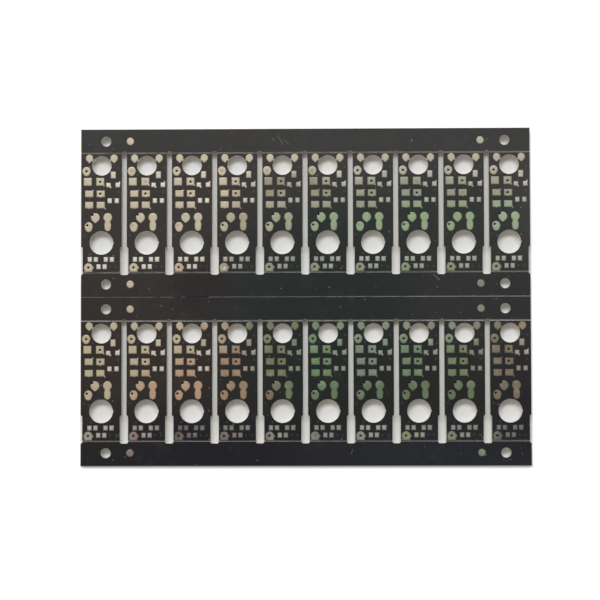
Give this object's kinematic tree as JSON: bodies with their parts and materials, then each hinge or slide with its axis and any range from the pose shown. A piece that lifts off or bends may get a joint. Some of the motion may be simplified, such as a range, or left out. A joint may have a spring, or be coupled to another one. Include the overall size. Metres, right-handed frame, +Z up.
{
  "type": "bare circuit board",
  "caption": "Bare black circuit board: a scored panel of narrow small boards with routed slots, round component holes, tinned pads and rails with tooling holes.",
  "frame": {"origin": "middle of the panel's outline, on the underside that it lies on", "axes": "+X along the rows of small boards, +Y from the boards' feet to their heads, +Z up out of the padded face"},
  "size_m": [0.0892, 0.0668, 0.0016],
  "materials": {
    "laminate": "woven glass and epoxy, pale and matt where it is routed or scored, black coat on the underside",
    "solder_mask": "satin black solder mask with faint dust and scratches",
    "tinned_copper": "hot-air levelled tin over copper, satin, tinted in places"
  },
  "bodies": {
    "root": {"laminate": "laminate", "mask_top": "solder_mask", "fiducials": "tinned_copper", "upper_01_pads": "tinned_copper", "upper_02_pads": "tinned_copper", "upper_03_pads": "tinned_copper", "upper_04_pads": "tinned_copper", "upper_05_pads": "tinned_copper", "upper_06_pads": "tinned_copper", "upper_07_pads": "tinned_copper", "upper_08_pads": "tinned_copper", "upper_09_pads": "tinned_copper", "upper_10_pads": "tinned_copper", "lower_01_pads": "tinned_copper", "lower_02_pads": "tinned_copper", "lower_03_pads": "tinned_copper", "lower_04_pads": "tinned_copper", "lower_05_pads": "tinned_copper", "lower_06_pads": "tinned_copper", "lower_07_pads": "tinned_copper", "lower_08_pads": "tinned_copper", "lower_09_pads": "tinned_copper", "lower_10_pads": "tinned_copper"}
  },
  "joints": []
}
